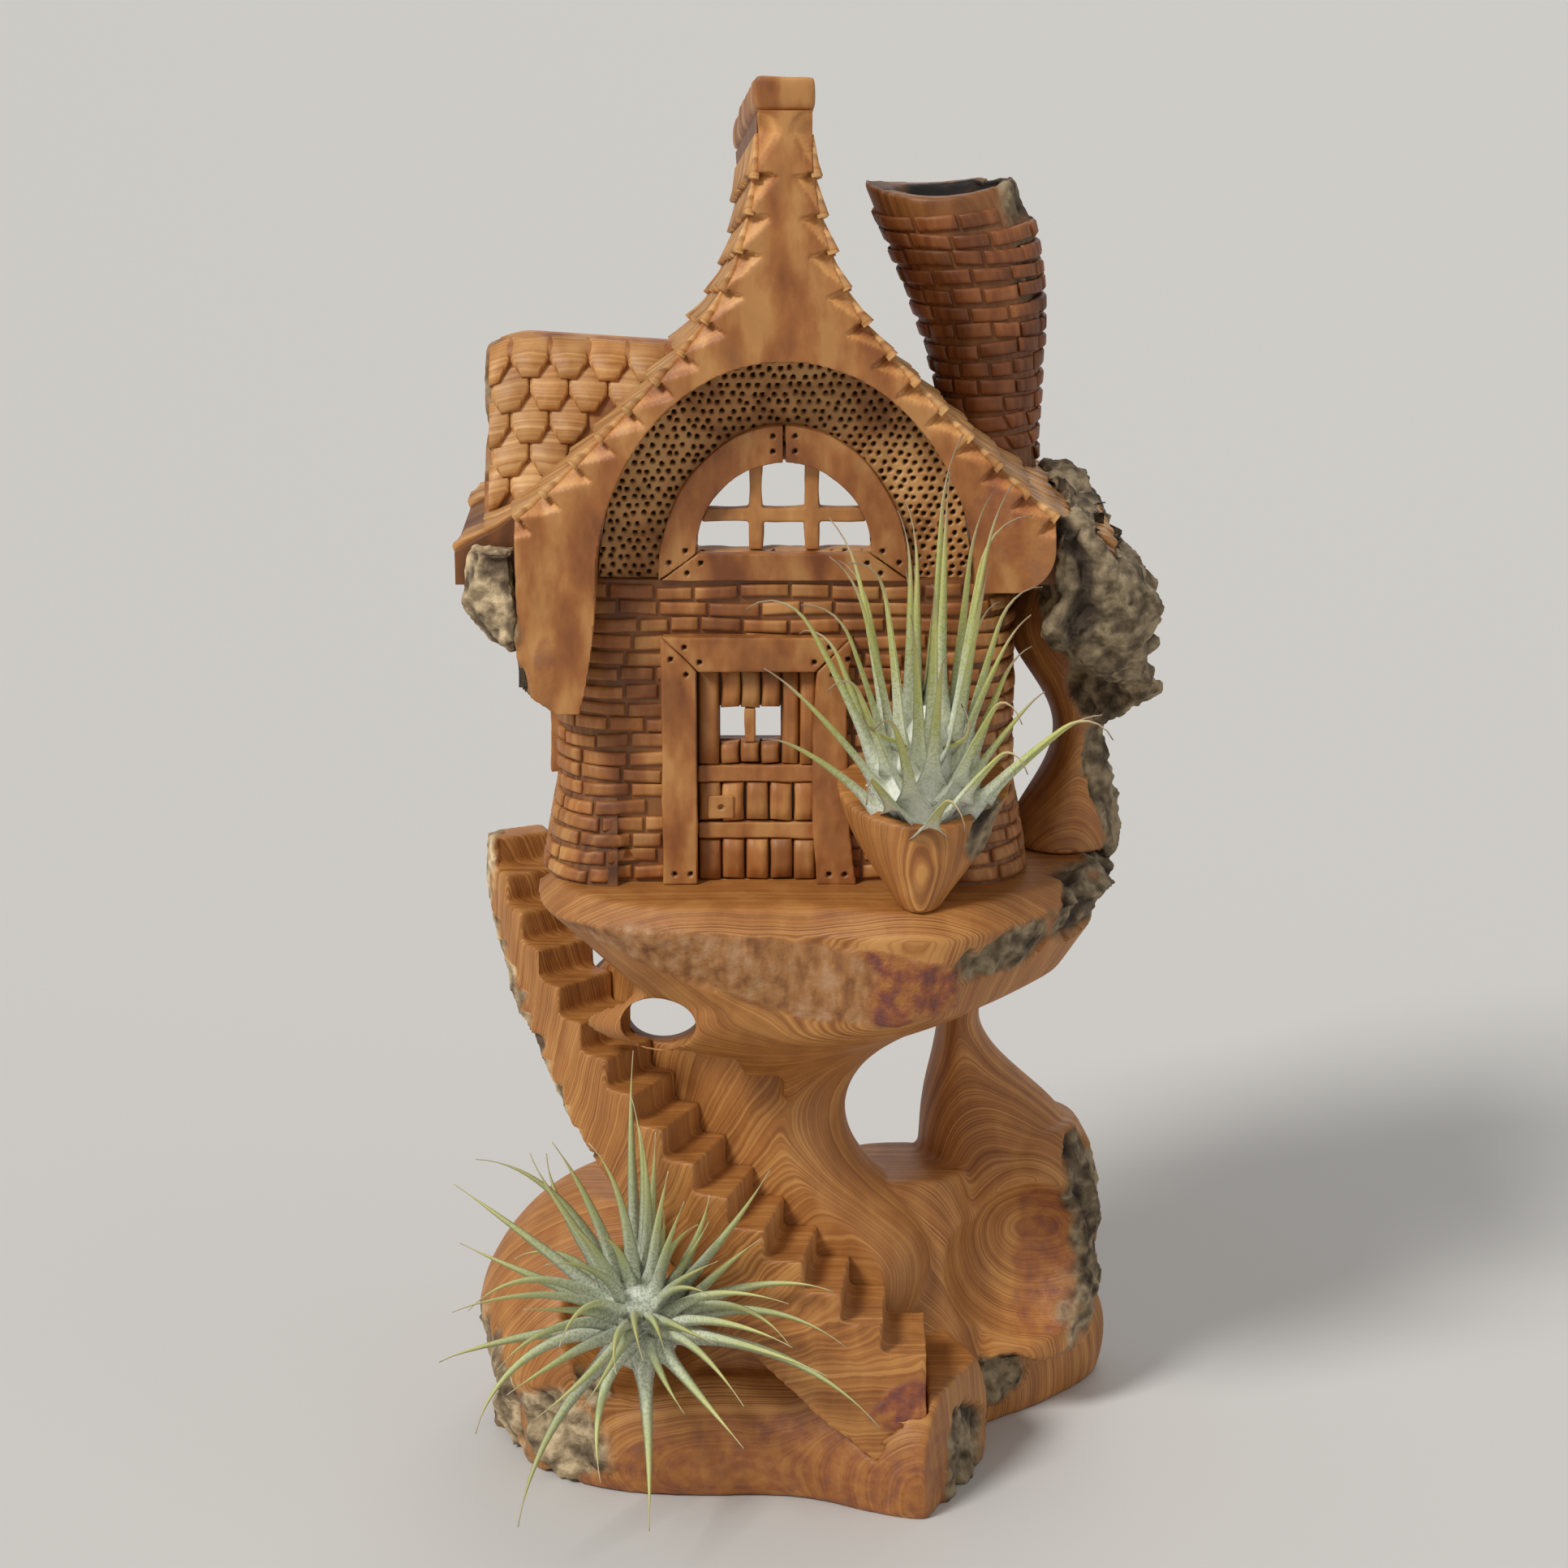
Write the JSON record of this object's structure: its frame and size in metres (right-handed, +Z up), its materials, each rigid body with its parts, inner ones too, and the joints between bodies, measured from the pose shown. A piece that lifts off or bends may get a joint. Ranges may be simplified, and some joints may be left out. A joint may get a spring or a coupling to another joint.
{
  "type": "air plant holder",
  "caption": "Carved bark cottage on a pierced stump with a winding stair and hollows that hold loose air plants.",
  "frame": {"origin": "point on the flat resting face, under the middle of the stump", "axes": "+Z up, -Y towards the front with the door, +X to the right when facing the front"},
  "size_m": [0.1792, 0.1606, 0.35],
  "materials": {
    "carved_bark": "cut smooth, satin",
    "rough_bark": "rough, matt",
    "air_plant": "fine pale scales, matt"
  },
  "bodies": {
    "carving": {"stair_flight": "carved_bark", "base_block": "carved_bark", "trunk": "carved_bark", "rear_leg": "carved_bark", "deck": "carved_bark", "front_wall": "carved_bark", "left_wall": "carved_bark", "right_wall": "carved_bark", "side_window_frame": "carved_bark", "gable_board": "carved_bark", "left_roof": "carved_bark", "right_roof": "carved_bark", "ridge_cap": "carved_bark", "dormer_hood": "carved_bark", "dormer_shingles": "carved_bark", "chimney": "carved_bark", "left_shingles": "carved_bark", "right_shingles": "carved_bark", "right_pillar": "rough_bark", "right_eave_bark": "rough_bark", "left_eave_bark": "rough_bark", "gable_panel": "carved_bark", "wall_bricks": "carved_bark", "window_left_board": "carved_bark", "window_right_board": "carved_bark", "window_sill": "carved_bark", "window_lattice": "carved_bark", "door_lintel": "carved_bark", "door_left_jamb": "carved_bark", "door_right_jamb": "carved_bark", "door_bottom_planks": "carved_bark", "door_middle_planks": "carved_bark", "door_short_planks": "carved_bark", "door_top_planks": "carved_bark", "door_stiles": "carved_bark", "door_lower_batten": "carved_bark", "door_upper_batten": "carved_bark", "door_mullion": "carved_bark", "door_lock_plate": "carved_bark", "planter_pocket": "carved_bark"},
    "upper_plant": {"upper_air_plant": "air_plant"},
    "lower_plant": {"lower_air_plant": "air_plant"}
  },
  "joints": [
    {"name": "upper_plant_lift", "type": "slide", "parent": "carving", "child": "upper_plant", "axis": [0, -0.4226, 0.9063], "range_m": [0, 0.09]},
    {"name": "lower_plant_lift", "type": "slide", "parent": "carving", "child": "lower_plant", "axis": [0, -0.7314, 0.682], "range_m": [0, 0.09]}
  ]
}
